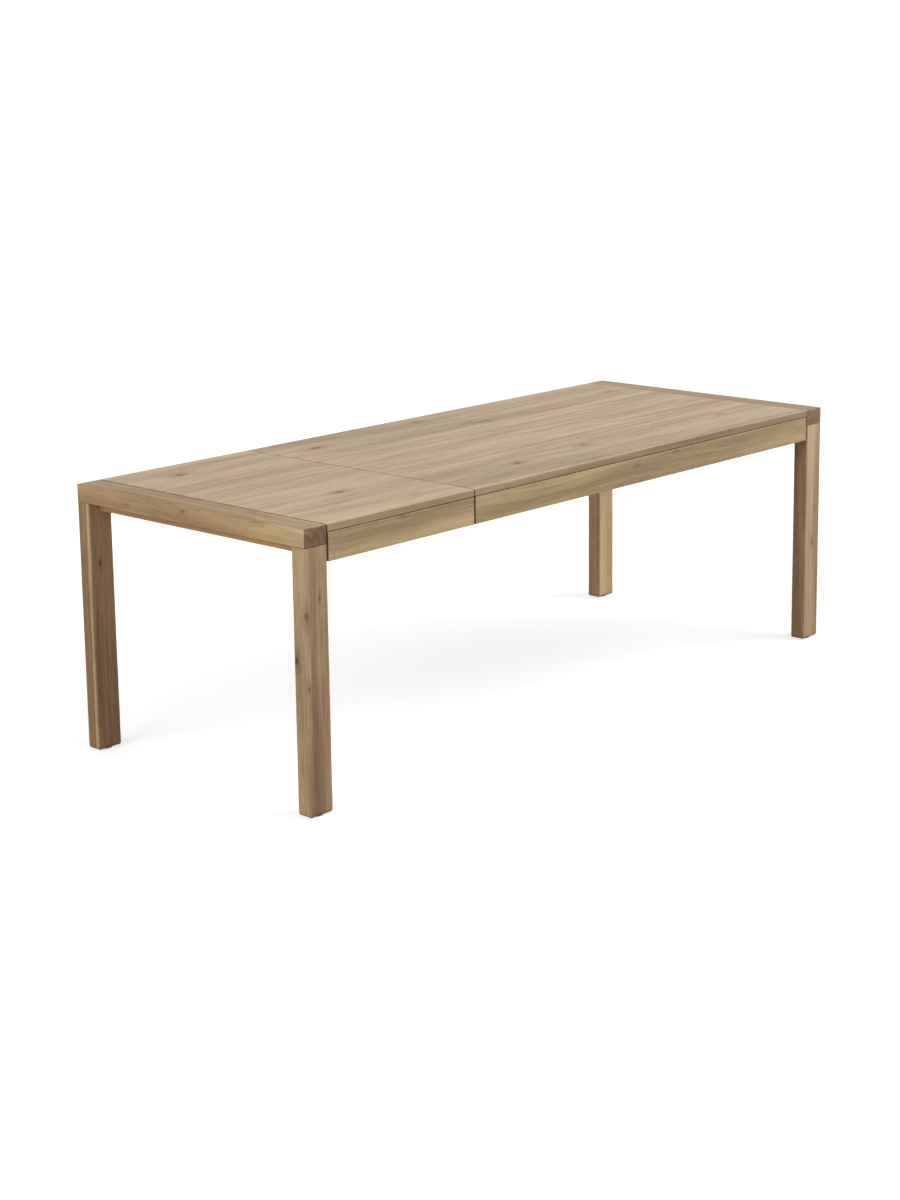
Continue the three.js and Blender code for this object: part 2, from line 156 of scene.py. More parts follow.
def edge_mask(shader, parts, low, high, width):
    """1 on the edges of the box, 0 farther from them than width."""
    near = []
    for axis in range(3):
        half, middle = (high[axis] - low[axis]) / 2, (high[axis] + low[axis]) / 2
        near.append(shader.minus(half, shader.away(parts[axis], middle)))
    first, second, third = near
    least = shader.math("MINIMUM", first, second)
    most = shader.math("MAXIMUM", first, second)
    middle_one = shader.math("MAXIMUM", least, shader.math("MINIMUM", most, third))
    return shader.step(middle_one, 0.0, width, 1.0, 0.0)


class Grain:
    """A place in a piece of wood: parts are X, Y and Z, and a, b and c run along, across and through it."""

    def __init__(self, shader, node, along, seed):
        self.low, self.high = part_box(node)
        self.coordinates = shader.add("ShaderNodeTexCoord")
        self.place = self.coordinates.outputs["Object"]
        split = shader.add("ShaderNodeSeparateXYZ", {0: self.place})
        self.parts = [split.outputs[i] for i in range(3)]
        self.axis = AXIS[along]
        across = [i for i in range(3) if i != self.axis]
        self.wide, self.thick = sorted(across, key=lambda i: self.low[i] - self.high[i])
        self.width = self.high[self.wide] - self.low[self.wide]
        middle = (self.low + self.high) / 2
        self.seed = seed
        self.a = shader.plus(self.parts[self.axis], seed * 1.73)
        self.b = shader.minus(self.parts[self.wide], middle[self.wide])
        self.c = shader.minus(self.parts[self.thick], middle[self.thick])


def staves_in(shader, grain, count):
    """Boards glued side by side, each from its own tree.

    Gives the distance from the tree's middle, the board's width, its tone and the glue line, and moves each
    board along its grain.
    """
    board_width = grain.width / count
    from_side = shader.plus(grain.b, grain.width / 2)
    place_in_row = shader.math("DIVIDE", from_side, board_width)
    index = shader.math("FLOOR", place_in_row)
    chance = shader.add("ShaderNodeTexWhiteNoise", {"W": shader.plus(index, grain.seed * 7.0)},
                        noise_dimensions="1D").outputs[0]
    own_middle = shader.times(shader.plus(index, 0.5), board_width)
    lean = shader.times(shader.minus(chance, 0.5), 3.0 * board_width)
    b_ring = shader.minus(shader.minus(from_side, own_middle), lean)
    grain.a = shader.plus(grain.a, shader.times(chance, 9.0))
    tone = shader.plus(0.92, shader.times(chance, 0.15))
    seam = shader.away(shader.math("FRACT", place_in_row), 0.5)
    glue_line = shader.step(seam, 0.4965, 0.4995)
    return b_ring, board_width, tone, glue_line


def knot_masks(shader, grain, knots):
    """Where the knots and the stained wood round them are. knots are (place, size, depth of colour)."""
    core, halo = 0.0, 0.0
    squeeze = [1.0, 1.0, 1.0]
    squeeze[grain.axis] = 0.42  # a knot is long along the grain
    for spot, size, depth in knots:
        offset = shader.vector("SUBTRACT", grain.place, tuple(spot))
        distance = shader.vector("LENGTH", shader.vector("MULTIPLY", offset, tuple(squeeze)), (0, 0, 0))
        ragged = shader.minus(shader.noise(grain.place, 90.0, 2.0), 0.5)
        distance = shader.plus(distance, shader.times(ragged, size))
        core = shader.math("MAXIMUM", core, shader.step(distance, 0.15 * size, size, depth, 0.0))
        halo = shader.math("MAXIMUM", halo, shader.step(distance, 0.5 * size, 3.0 * size, 0.7 * depth, 0.0))
    return core, halo


def band_mask(shader, grain, wobble, axis, middle, reach, soft):
    """A strip across one axis, with a border that wavers."""
    waver = shader.times(shader.minus(wobble, 0.5), soft)
    off = shader.plus(shader.away(grain.parts[axis], middle), waver)
    return shader.step(off, reach, reach + soft, 1.0, 0.0)


def wedge_mask(shader, grain, wobble, height, slope):
    """The upper corner of the outer face, above a line that rises along the grain."""
    rise = shader.times(slope, shader.minus(grain.parts[grain.axis], grain.low[grain.axis]))
    above = shader.minus(grain.parts[2], shader.plus(height, rise))
    above = shader.plus(above, shader.times(shader.minus(wobble, 0.5), 4 * MM))
    below_top = shader.minus(grain.high[2], grain.parts[2])
    behind_face = shader.minus(grain.parts[grain.wide], grain.low[grain.wide])
    mask = shader.times(shader.step(above, 0.0, 1.5 * MM), shader.step(below_top, 0.3 * MM, 0.8 * MM))
    return shader.times(mask, shader.step(behind_face, 10 * MM, 45 * MM, 1.0, 0.0))


def growth_rings(shader, distance, spacing):
    """0 to 1 and back over each ring."""
    wave = shader.math("SINE", shader.times(distance, math.tau / spacing))
    return shader.times(shader.plus(wave, 1.0), 0.5)


def wood_fibres(shader, bent, pores):
    """Short fibres, and the open pores that show as dashes along the grain."""
    fibres = shader.noise(shader.vector("MULTIPLY", bent, (11.0, 420.0, 420.0)), 1.0, 3.0, 0.6)
    dashes = shader.noise(shader.vector("MULTIPLY", bent, (60.0, 1500.0, 1500.0)), 1.0, 2.0)
    return fibres, shader.times(shader.step(dashes, 0.55, 0.68), pores)


def wood_tone(shader, bent, fibres, rings, wide_rings, contrast):
    """0 in the lightest wood and 1 in the darkest."""
    streaks = shader.noise(shader.vector("MULTIPLY", bent, (1.4, 40.0, 40.0)), 1.0, 5.0, 0.65)
    clouds = shader.noise(shader.vector("MULTIPLY", bent, (0.8, 6.5, 6.5)), 1.0, 3.0)
    tone = shader.times(shader.step(streaks, 0.3, 0.7), 0.38)
    tone = shader.plus(tone, shader.times(shader.step(fibres, 0.3, 0.7), 0.26))
    tone = shader.plus(tone, shader.times(rings, 0.10))
    tone = shader.plus(tone, shader.times(wide_rings, 0.05))
    tone = shader.plus(tone, shader.times(shader.step(clouds, 0.32, 0.68), 0.42))
    usual_tone = 0.59
    return shader.math("ADD", 0.5, shader.times(shader.minus(tone, usual_tone), contrast), clamp=True)


def end_grain(shader, line, colour, rings, wide_rings, end_tone):
    """The colour of the sawn ends: darker than the faces, with rays across the rings."""
    rays = shader.noise(shader.vector("MULTIPLY", line, (1.0, 260.0, 90.0)), 1.0, 2.0)
    shade = shader.plus(shader.times(rings, -0.16), shader.times(rays, 0.35))
    shade = shader.plus(shade, shader.times(wide_rings, -0.10))
    shade = shader.plus(shade, end_tone)
    return shader.mix(1.0, shader.scaled(colour, shade), (1.0, 0.83, 0.68, 1.0), "MULTIPLY")


def wood(name, node, along, light, dark, seed=0, staves=0, knots=(), bands=(), pith=(0.3, -0.9),
         end_tone=0.5, contrast=1.0, pores=1.0, painted_side_shade=None, wedge=None):
    """Oak or beech with its grain along one axis.

    pith is where the tree's middle lies, in widths of the piece from its centre. bands are (axis, place,
    reach, soft, tint); some are strips of other wood and some are painted light and shade.
    painted_side_shade darkens and warms the narrow long faces as painted shade, and wedge is (height,
    slope, tint).
    """
    shader = Shader(name)
    grain = Grain(shader, node, along, seed)
    if staves:
        b_ring, ring_width, tone_shift, glue_line = staves_in(shader, grain, staves)
    else:
        b_ring, ring_width = shader.minus(grain.b, pith[0] * grain.width), grain.width
        tone_shift, glue_line = 1.0, None
    c_ring = shader.minus(grain.c, pith[1] * ring_width)

    line = shader.add("ShaderNodeCombineXYZ", {0: grain.a, 1: grain.b, 2: grain.c}).outputs[0]
    drift = shader.noise(shader.vector("MULTIPLY", line, (1.3, 5.0, 5.0)), 1.0, 2.0)
    b_line = shader.plus(b_ring, shader.times(shader.minus(drift, 0.5), 0.055))
    wobble = shader.noise(shader.vector("MULTIPLY", line, (4.0, 30.0, 30.0)), 1.0, 2.0)
    knot_core, knot_halo = knot_masks(shader, grain, knots)

    distance = shader.math("SQRT", shader.plus(shader.times(b_line, b_line), shader.times(c_ring, c_ring)))
    if knots:
        distance = shader.plus(distance, shader.times(knot_halo, 0.018))
    distance = shader.plus(distance, shader.times(wobble, 0.006))
    rings = growth_rings(shader, distance, 5.2 * MM)
    wide_rings = growth_rings(shader, distance, 21 * MM)

    bent = shader.add("ShaderNodeCombineXYZ", {0: grain.a, 1: b_line, 2: grain.c}).outputs[0]
    fibres, dashes = wood_fibres(shader, bent, pores)
    tone = wood_tone(shader, bent, fibres, rings, wide_rings, contrast)
    colour = shader.mix(tone, srgb(*light), srgb(*dark))
    colour = shader.scaled(colour, shader.minus(tone_shift, shader.times(dashes, 0.16)))

    for axis, middle, reach, soft, tint in bands:
        colour = shader.tinted(band_mask(shader, grain, wobble, axis, middle, reach, soft), colour, tint)
    if wedge:
        height, slope, tint = wedge
        colour = shader.tinted(wedge_mask(shader, grain, wobble, height, slope), colour, tint)
    if knots:
        colour = shader.tinted(knot_halo, colour, (0.62, 0.50, 0.38))
        colour = shader.mix(knot_core, colour, srgb(66, 46, 30))

    facing = shader.add("ShaderNodeSeparateXYZ", {0: grain.coordinates.outputs["Normal"]})
    # painted shade: the narrow long faces are darkened and warmed against the top face
    if painted_side_shade:
        side_face = shader.step(shader.math("ABSOLUTE", facing.outputs[grain.wide]), 0.5, 0.8)
        colour = shader.tinted(side_face, colour, painted_side_shade)
    end_face = shader.step(shader.math("ABSOLUTE", facing.outputs[grain.axis]), 0.3, 0.6)
    end_colour = end_grain(shader, line, colour, rings, wide_rings, end_tone)
    colour = shader.mix(end_face, colour, end_colour)

    rubbed = shader.step(shader.noise(grain.place, 60.0, 3.0), 0.42, 0.62)
    worn = shader.times(edge_mask(shader, grain.parts, grain.low, grain.high, 6 * MM), rubbed)
    colour = shader.mix(shader.times(worn, 0.25), colour, srgb(*light))
    height = shader.plus(shader.times(fibres, 0.5), shader.times(dashes, -0.6))
    if glue_line is not None:
        colour = shader.scaled(colour, shader.minus(1.0, shader.times(glue_line, 0.18)))
        height = shader.minus(height, shader.times(glue_line, 0.5))
    if knots:
        height = shader.minus(height, shader.times(knot_core, 2.5))
    shader.set("Base Color", colour)
    rough = shader.plus(0.46, shader.times(fibres, 0.22))
    shader.set("Roughness", shader.plus(rough, shader.times(dashes, 0.1)))
    shader.bump(height, 0.25 * MM, 0.8)
    return shader.material


def zinc(name):
    """Zinc-plated steel, drawn along X, with dull spots."""
    shader = Shader(name)
    place = shader.add("ShaderNodeTexCoord").outputs["Object"]
    lines = shader.noise(shader.vector("MULTIPLY", place, (60.0, 1800.0, 1800.0)), 1.0, 3.0)
    spots = shader.step(shader.noise(place, 140.0, 4.0), 0.4, 0.68)
    shade = shader.mix(spots, srgb(196, 197, 196), srgb(158, 160, 162))
    shader.set("Base Color", shader.mix(shader.times(lines, 0.35), shade, srgb(120, 122, 124)))
    shader.set("Metallic", 1.0)
    shader.set("Roughness", shader.plus(0.26, shader.times(spots, 0.2)))
    shader.bump(lines, 0.05 * MM, 0.5)
    return shader.material


def nylon(name):
    """Beige moulded plastic with a fine spark texture and scuffs."""
    shader = Shader(name)
    place = shader.add("ShaderNodeTexCoord").outputs["Object"]
    speckle = shader.noise(place, 1500.0, 2.0)
    scuffs = shader.step(shader.noise(place, 110.0, 4.0), 0.5, 0.7)
    shader.set("Base Color", shader.mix(scuffs, srgb(154, 138, 116), srgb(120, 106, 88)))
    shader.set("Roughness", shader.plus(0.5, shader.times(scuffs, 0.2)))
    shader.bump(speckle, 0.08 * MM, 0.6)
    return shader.material


# ---------- Meshes ----------
def make_object(name, mesh, material):
    obj = bpy.data.objects.new(name, mesh)
    bpy.context.scene.collection.objects.link(obj)
    mesh.materials.clear()
    mesh.materials.append(material)
    return obj


def smooth_shading(obj):
    """Smooth over the rounded edges, and flat on the large faces."""
    obj.data.shade_smooth()
    obj.modifiers.new("normals", "WEIGHTED_NORMAL").weight = 100


def stand_for(obj, node):
    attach(obj, BODY[node])
    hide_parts(node)
    return obj


def apply_modifiers(obj):
    graph = bpy.context.evaluated_depsgraph_get()
    mesh = bpy.data.meshes.new_from_object(obj.evaluated_get(graph), depsgraph=graph)
    obj.modifiers.clear()
    obj.data = mesh


def boolean(obj, tool, operation):
    """Cuts the tool out of obj, or joins it to obj, and removes the tool."""
    change = obj.modifiers.new("boolean", "BOOLEAN")
    change.object, change.operation, change.solver = tool, operation, "EXACT"
    bpy.context.view_layer.update()
    apply_modifiers(obj)
    bpy.data.objects.remove(tool)


def bevelled_bar(low, high, along, radius, end_radii, spacing, wear, seed, dents=()):
    """A sawn bar with eased edges that wander a little, as sanded edges do.

    end_radii are at its low and high end, and dents are (place, size, depth).
    """
    grain = AXIS[along]
    across = [i for i in range(3) if i != grain]
    bar = bmesh.new()
    bmesh.ops.create_cube(bar, size=1.0)
    for vertex in bar.verts:
        vertex.co = Vector([low[i] if vertex.co[i] < 0 else high[i] for i in range(3)])
    long_edges = [e for e in bar.edges if abs(e.verts[0].co[grain] - e.verts[1].co[grain]) > 1e-6]
    bmesh.ops.bevel(bar, geom=long_edges, offset=radius, segments=5, profile=0.5, affect="EDGES")
    for level, end_radius in zip((low[grain], high[grain]), end_radii):
        end_edges = [e for e in bar.edges if all(abs(v.co[grain] - level) < 1e-6 for v in e.verts)]
        bmesh.ops.bevel(bar, geom=end_edges, offset=end_radius, segments=3, profile=0.5, affect="EDGES")
    count = max(2, round((high[grain] - low[grain]) / spacing))
    normal = Vector([1.0 if i == grain else 0.0 for i in range(3)])
    for cut in range(1, count):
        point = Vector(low)
        point[grain] = low[grain] + (high[grain] - low[grain]) * cut / count
        geometry = bar.verts[:] + bar.edges[:] + bar.faces[:]
        bmesh.ops.bisect_plane(bar, geom=geometry, plane_co=point, plane_no=normal)
    middle = (Vector(low) + Vector(high)) / 2
    for vertex in bar.verts:
        depth = [min(vertex.co[i] - low[i], high[i] - vertex.co[i]) for i in across]
        share = min(1.0, min(depth) / (0.29 * radius))
        inward = Vector([math.copysign(1.0, middle[i] - vertex.co[i]) for i in range(3)])
        inward[grain] = 0.0
        sway = noise.noise(vertex.co * 23.0 + Vector((seed * 3.1, seed * 1.7, 0.0)))
        vertex.co += inward * (share * wear * (0.5 + sway))
        for spot, size, dent in dents:
            reach = (vertex.co - Vector(spot)).length / size
            if reach < 1 and min(depth) < radius:
                vertex.co += inward * dent * (1 - reach * reach)
    mesh = bpy.data.meshes.new("bar")
    bar.to_mesh(mesh)
    bar.free()
    return mesh


def turned_mesh(rings, start, direction, sides=32):
    """A turned piece. rings are (radius, distance along, corners), with 0 corners for a round ring."""
    piece = bmesh.new()
    turn = Vector((0, 0, 1)).rotation_difference(Vector(direction)).to_matrix()
    loops = []
    for radius, along, corners in rings:
        if radius == 0:
            loops.append([piece.verts.new(Vector(start) + turn @ Vector((0, 0, along)))])
            continue
        loop = []
        for side in range(sides):
            angle = math.tau * side / sides
            reach = radius
            if corners:
                sector = math.tau / corners
                reach = radius * math.cos(sector / 2) / math.cos(angle % sector - sector / 2)
            point = Vector((reach * math.cos(angle), reach * math.sin(angle), along))
            loop.append(piece.verts.new(Vector(start) + turn @ point))
        loops.append(loop)
    for below, above in zip(loops, loops[1:]):
        for side in range(sides):
            after = (side + 1) % sides
            corner_points = [below[side % len(below)], below[after % len(below)],
                             above[after % len(above)], above[side % len(above)]]
            face = list(dict.fromkeys(corner_points))
            if len(face) > 2:
                piece.faces.new(face)
    bmesh.ops.recalc_face_normals(piece, faces=piece.faces[:])
    mesh = bpy.data.meshes.new("turned")
    piece.to_mesh(mesh)
    piece.free()
    return mesh


def joined(meshes):
    """One mesh that holds all of them."""
    whole = bmesh.new()
    for mesh in meshes:
        whole.from_mesh(mesh)
    result = bpy.data.meshes.new("joined")
    whole.to_mesh(result)
    whole.free()
    return result


def eased_copy(node, material, radius):
    """The CAD node's own shape with its edges rounded."""
    shape = bmesh.new()
    shape.from_mesh(frame["nodes"][node].data)
    bmesh.ops.remove_doubles(shape, verts=shape.verts[:], dist=1e-5)
    bmesh.ops.dissolve_limit(shape, angle_limit=math.radians(1), verts=shape.verts[:], edges=shape.edges[:])
    mesh = bpy.data.meshes.new(node + "_look")
    shape.to_mesh(mesh)
    shape.free()
    obj = make_object(node + "_look", mesh, material)
    bevel = obj.modifiers.new("bevel", "BEVEL")
    bevel.width, bevel.segments, bevel.limit_method = radius, 2, "ANGLE"
    bevel.angle_limit = math.radians(40)
    smooth_shading(obj)
    return stand_for(obj, node)


def board(node, material, along, radius=2 * MM, end_radii=(0.8 * MM, 0.8 * MM), spacing=0.02,
          wear=0.3 * MM, seed=1, dents=(), holes=()):
    """A bar in the box of a CAD node. holes are (start, radius, length), drilled along X."""
    low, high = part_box(node)
    mesh = bevelled_bar(low, high, along, radius, end_radii, spacing, wear, seed, dents)
    obj = make_object(node + "_look", mesh, material)
    for start, hole_radius, length in holes:
        rings = [(0, 0, 0), (hole_radius, 0, 0), (hole_radius, length, 0), (0, length, 0)]
        tool = make_object("hole", turned_mesh(rings, start, (1, 0, 0), 24), material)
        boolean(obj, tool, "DIFFERENCE")
        obj.data.materials.clear()
        obj.data.materials.append(material)
    smooth_shading(obj)
    return stand_for(obj, node)


def screw_heads(name, node, count, body, radius=4 * MM, rows=(0.5,), plate=None):
    """Rows of pan heads with hexagon recesses under a node.

    plate is the thickness of its top plate, if the heads sit under that.
    """
    low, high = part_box(node)
    length, width = sorted((0, 1), key=lambda i: low[i] - high[i])
    level = high.z - plate if plate else low.z
    recess = 0.5 * radius
    rings = [(0, -1 * MM, 0), (radius, -1 * MM, 0), (radius, 0.5 * MM, 0), (0.85 * radius, 1.3 * MM, 0),
             (1.1 * recess, 1.6 * MM, 0), (recess, 1.6 * MM, 6), (recess, 0.2 * MM, 6), (0, 0, 0)]
    meshes = []
    for row in rows:
        for step in range(count):
            start = Vector(low)
            start.z = level
            start[length] = low[length] + (high[length] - low[length]) * (step + 0.5) / count
            start[width] = low[width] + (high[width] - low[width]) * row
            meshes.append(turned_mesh(rings, start, (0, 0, -1), 24))
    obj = make_object(name, joined(meshes), STEEL)
    obj.data.shade_smooth()
    obj.data.set_sharp_from_angle(angle=math.radians(35))
    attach(obj, body)
    return obj


# ---------- The wood of each piece ----------
TOP_LIGHT, TOP_DARK = (184, 162, 132), (136, 116, 88)
BEAM_LIGHT, BEAM_DARK = (176, 145, 103), (132, 102, 66)
APRON_LIGHT, APRON_DARK = (180, 155, 112), (138, 114, 78)
BEECH_LIGHT, BEECH_DARK = (206, 170, 126), (180, 140, 98)
STEEL = zinc("zinc_steel")
NYLON = nylon("beige_nylon")


def top_knot(x, y, size, depth=0.55):
    return ((x, y, TOP_Z - 1 * MM), size, depth)


def make_tops():
    end_knots = [top_knot(-0.889, 0.322, 0.014, 0.7), top_knot(-0.772, -0.191, 0.010, 0.95),
                 top_knot(-0.65, -0.36, 0.006, 0.4)]
    long_knots = [
        top_knot(-0.365, 0.315, 0.016, 0.75),
        top_knot(0.139, 0.387, 0.010, 0.4),
        top_knot(0.287, 0.229, 0.010, 0.4),
        top_knot(-0.166, -0.300, 0.010, 1.0),
        top_knot(0.163, -0.269, 0.009, 0.85),
        top_knot(0.843, -0.269, 0.008),
        top_knot(0.98, 0.284, 0.012, 0.5),
        top_knot(-0.40, -0.43, 0.008, 0.4),
        top_knot(0.24, 0.25, 0.009, 0.4),
    ]
    # painted shade along the joints: the tops are darkened within about 2 mm of the end panel's two ends
    joint_shade_tint = (0.32, 0.26, 0.21)
    joint_shade_lines = [(0, corner.x, 1 * MM, 0.9 * MM, joint_shade_tint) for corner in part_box("end_top_panel")]
    tone = dict(light=TOP_LIGHT, dark=TOP_DARK, staves=7, end_tone=0.3, painted_side_shade=(0.92, 0.86, 0.70),
                bands=joint_shade_lines, contrast=1.3)
    glued, free = [], []
    long_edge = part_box("long_top_panel")[0].x
    for index in range(1, len(DOWELS) + 1):
        low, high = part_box(f"seam_dowel_{index}")
        middle = (low + high) / 2
        radius = (high.y - low.y) / 2
        glued.append((Vector((low.x - 0.3 * MM, middle.y, middle.z)), radius + 0.4 * MM, 0.06))
        free.append((Vector((long_edge - 5 * MM, middle.y, middle.z)), radius + 0.8 * MM, 0.03))
    end_oak = wood("oak_end_top", "end_top_panel", "x", seed=1, knots=end_knots, **tone)
    board("end_top_panel", end_oak, "x", spacing=0.025, seed=1, holes=glued)
    long_oak = wood("oak_long_top", "long_top_panel", "x", seed=4, knots=long_knots, **tone)
    board("long_top_panel", long_oak, "x", spacing=0.025, seed=2, holes=free)
    leaf_oak = wood("oak_leaf", "spare_leaf", "y", TOP_LIGHT, TOP_DARK, seed=9, staves=5)
    board("spare_leaf", leaf_oak, "y", spacing=0.025, seed=3)


def make_ends():
    near_knots = [((PULL_X, 0.010, 0.742), 0.004, 0.7), ((PULL_X, -0.275, 0.758), 0.006, 0.5),
                  ((PULL_X, 0.24, 0.73), 0.004, 0.35)]
    # painted shade: the beams' top faces are darkened and greyed against their outer faces
    painted_top_shade = (2, TOP_Z, 1.3 * MM, 0.9 * MM, (0.76, 0.78, 0.80))
    sapwood = (1, FRONT_Y + 0.05, 0.10, 0.08, (1.08, 1.12, 1.20))
    pale_edge = (TOP_Z - 13 * MM, 0.08, (1.26, 1.40, 1.62))
    near = wood("oak_pull_beam", "pull_end_beam", "y", BEAM_LIGHT, BEAM_DARK, seed=2, knots=near_knots,
                bands=[painted_top_shade, sapwood], wedge=pale_edge, pith=(-0.6, -0.5), end_tone=0.30, contrast=1.5)
    far = wood("oak_fixed_beam", "fixed_end_beam", "y", (178, 152, 118), (140, 115, 84), seed=5,
               bands=[painted_top_shade], pith=(0.7, -0.6), end_tone=0.56, contrast=1.3)
    notch = [((PULL_X, -0.275, TOP_Z), 0.022, 2.2 * MM)]
    board("pull_end_beam", near, "y", 2 * MM, (2 * MM, 2 * MM), 0.012, 0.5 * MM, 5, notch)
    board("fixed_end_beam", far, "y", 2 * MM, (2 * MM, 2 * MM), 0.012, 0.5 * MM, 6)
    for end in ("pull", "fixed"):
        node = end + "_end_rail"
        # painted light: the rails are coloured lighter than the beams to offset the shade that falls on
        # them under the beams
        oak = wood("oak_" + end + "_rail", node, "y", (208, 160, 108), (164, 118, 74), seed=len(end))
        board(node, oak, "y", 1.5 * MM)


def make_legs():
    legs = {
        "pull_front_leg": dict(
            seed=3, light=(162, 134, 98), dark=(118, 92, 63), pith=(0.9, 0.6),
            knots=[((PULL_X, -0.412, 0.414), 0.009, 1.0), ((-1.101, FRONT_Y, 0.574), 0.005, 0.8),
                   ((PULL_X + 2 * MM, FRONT_Y + 1 * MM, 0.535), 0.008, 0.8),
                   ((PULL_X + 4 * MM, FRONT_Y, 0.346), 0.004, 0.8)],
            # painted light and shade: the first band lightens the -X face and the corner beside it, and the
            # second darkens a strip of the -Y face
            bands=[(0, PULL_X, 0.011, 0.003, (1.11, 1.12, 1.12)),
                   (0, PULL_X + 0.024, 0.007, 0.007, (0.80, 0.74, 0.68))]),
        "pull_back_leg": dict(
            seed=6, light=(168, 137, 99), dark=(122, 93, 62), pith=(-0.8, 0.7),
            knots=[((-1.119, 0.402, 0.538), 0.005, 1.0)],
            bands=[(0, PULL_X + 0.004, 0.006, 0.004, (0.96, 0.94, 0.88)),
                   (1, 0.411, 0.004, 0.001, (1.36, 1.44, 1.48)),
                   (1, 0.4195, 0.0015, 0.0025, (0.80, 0.73, 0.66)),
                   # painted shade: this band darkens and warms the -Y face, leaving the -X face lighter
                   (0, PULL_X + 0.060, 0.045, 0.006, (1.02, 0.92, 0.82))]),
        "fixed_front_leg": dict(
            seed=8, light=(186, 160, 124), dark=(144, 118, 84), pith=(0.8, -0.9),
            knots=[((1.111, FRONT_Y, 0.323), 0.005, 0.8)],
            bands=[(0, 1.142, 0.004, 0.004, (0.86, 0.80, 0.72)),
                   # painted shade: this band darkens the inner -X face and the corner beside it
                   (0, FIXED_INNER_X, 0.002, 0.004, (0.62, 0.50, 0.41))]),
        "fixed_back_leg": dict(
            seed=11, light=(198, 168, 127), dark=(148, 118, 82), pith=(-0.9, -0.7),
            bands=[(0, 1.085, 0.004, 0.006, (1.1, 1.08, 1.05)),
                   # painted shade: this band darkens the inner -X face and the corner beside it
                   (0, FIXED_INNER_X, 0.002, 0.004, (0.68, 0.58, 0.49))]),
    }
    for index, (node, look) in enumerate(legs.items()):
        oak = wood("oak_" + node, node, "z", contrast=1.9, **look)
        board(node, oak, "z", 3 * MM, (7 * MM, 0.5 * MM), 0.014, 0.6 * MM, 10 + index)


def make_aprons():
    knots = {
        "end_apron_front": [((-0.795, FRONT_Y, 0.736), 0.005, 0.7)],
        "long_apron_front": [((0.178, FRONT_Y, 0.716), 0.003, 0.4), ((0.194, FRONT_Y, 0.717), 0.004, 0.6),
                             ((0.366, FRONT_Y, 0.727), 0.003, 0.4), ((0.383, FRONT_Y, 0.730), 0.004, 0.6)],
    }
    for index, node in enumerate(n for n in sorted(frame["nodes"]) if "_apron_" in n):
        look = wood("oak_" + node, node, "x", APRON_LIGHT, APRON_DARK, seed=13 + index,
                    knots=knots.get(node, ()), pith=(0.2, -0.6), contrast=1.6)
        board(node, look, "x", 1.5 * MM, (1 * MM, 1 * MM), 0.02, 0.3 * MM, 20 + index)


def make_inner_wood():
    """Runners, guides, ledges, cleats, battens, ledgers and corner blocks, all in plain beech."""
    for node in sorted(frame["nodes"]):
        if SLOT[node] != "beech" or node in DOWELS:
            continue
        low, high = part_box(node)
        along = "xyz"[max(range(3), key=lambda i: high[i] - low[i])]
        look = wood("beech_" + node, node, along, BEECH_LIGHT, BEECH_DARK, seed=sum(map(ord, node)) % 17,
                    contrast=0.7, pores=0.3)
        if "corner_block" in node:
            eased_copy(node, look, 1.2 * MM)
        else:
            board(node, look, along, 1.2 * MM, (0.8 * MM, 0.8 * MM), 0.06, 0.15 * MM, 30)


def make_dowels():
    for index, node in enumerate(DOWELS, 1):
        low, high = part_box(node)
        middle, radius, length = (low + high) / 2, (high.y - low.y) / 2, high.x - low.x
        tip = 1.5 * MM
        rings = [(0, 0, 0), (radius - tip, 0, 0), (radius, tip, 0)]
        grooves = 12
        for groove in range(1, grooves):
            at = tip + (length - 2 * tip) * groove / grooves
            rings += [(radius, at - 0.5 * MM, 0), (radius - 0.25 * MM, at, 0), (radius, at + 0.5 * MM, 0)]
        rings += [(radius, length - tip, 0), (radius - tip, length, 0), (0, length, 0)]
        look = wood("beech_" + node, node, "x", BEECH_LIGHT, BEECH_DARK, seed=index,
                    contrast=0.7, pores=0.3)
        peg = turned_mesh(rings, (low.x, middle.y, middle.z), (1, 0, 0))
        obj = make_object(node + "_look", peg, look)
        obj.data.shade_smooth()
        obj.data.set_sharp_from_angle(angle=math.radians(50))
        stand_for(obj, node)


def make_feet():
    for node in (n for n in sorted(frame["nodes"]) if n.endswith("_foot")):
        low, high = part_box(node)
        middle, radius, height = (low + high) / 2, (high.x - low.x) / 2, high.z - low.z
        nail = 3.5 * MM
        rings = [(0, 1.2 * MM, 0), (nail, 1.2 * MM, 0), (nail + 0.6 * MM, 0, 0), (radius - 1.2 * MM, 0, 0),
                 (radius - 0.4 * MM, 0.4 * MM, 0), (radius, 1.2 * MM, 0), (radius, height - 0.3 * MM, 0),
                 (radius - 0.3 * MM, height, 0), (0, height, 0)]
        glide = turned_mesh(rings, (middle.x, middle.y, low.z), (0, 0, 1), 48)
        obj = make_object(node + "_look", glide, NYLON)
        obj.data.shade_smooth()
        obj.data.set_sharp_from_angle(angle=math.radians(30))
        stand_for(obj, node)


